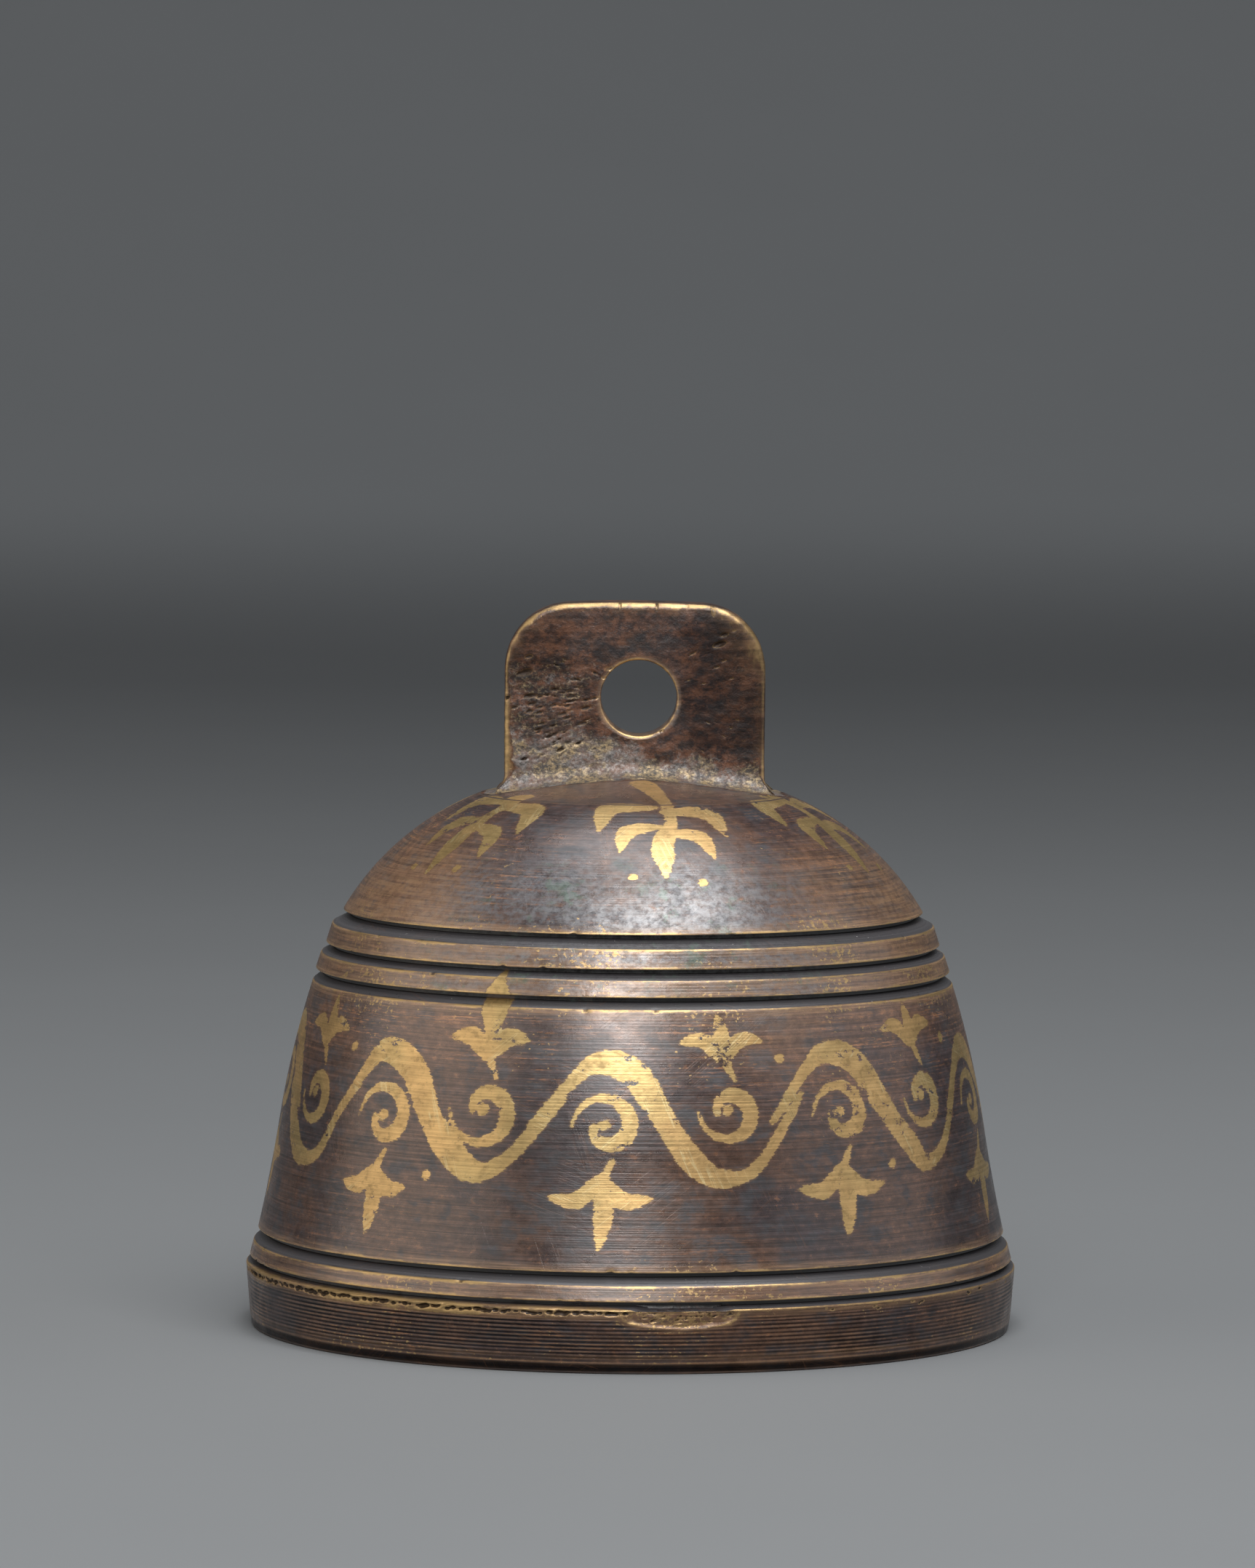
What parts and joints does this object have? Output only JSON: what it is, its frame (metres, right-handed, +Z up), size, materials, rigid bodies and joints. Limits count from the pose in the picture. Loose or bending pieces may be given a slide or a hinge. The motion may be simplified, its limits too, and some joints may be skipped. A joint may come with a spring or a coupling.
{
  "type": "hanging bell",
  "caption": "Small cast and turned hanging bell with a drilled plate lug, turned grooves round the shoulder and foot, and a clapper on a link inside.",
  "frame": {"origin": "middle of the mouth, on the plane of the rim that the bell stands on", "axes": "+Z up along the bell's axis to the lug, X along the lug's plate, -Y to the front, along the lug's hole"},
  "size_m": [0.105, 0.105, 0.0989],
  "materials": {
    "bell_patina": "dark brown patina, worn to gold at the edges",
    "forged_iron": "black forged, a little rust",
    "turned_brass": "turned, tarnished"
  },
  "bodies": {
    "bell": {"bell_casting": "bell_patina", "clapper_staple": "forged_iron"},
    "link": {"clapper_link": "forged_iron"},
    "clapper": {"clapper_rod": "forged_iron", "clapper_ball": "turned_brass"}
  },
  "joints": [
    {"name": "main_swing", "type": "hinge", "parent": "bell", "child": "link", "pos_m": [0, 0, 0.0618], "axis": [0, 1, 0], "range_deg": [-43, 43]},
    {"name": "side_swing", "type": "hinge", "parent": "link", "child": "clapper", "pos_m": [0, 0, 0.05455], "axis": [1, 0, 0], "range_deg": [-8, 8]}
  ]
}
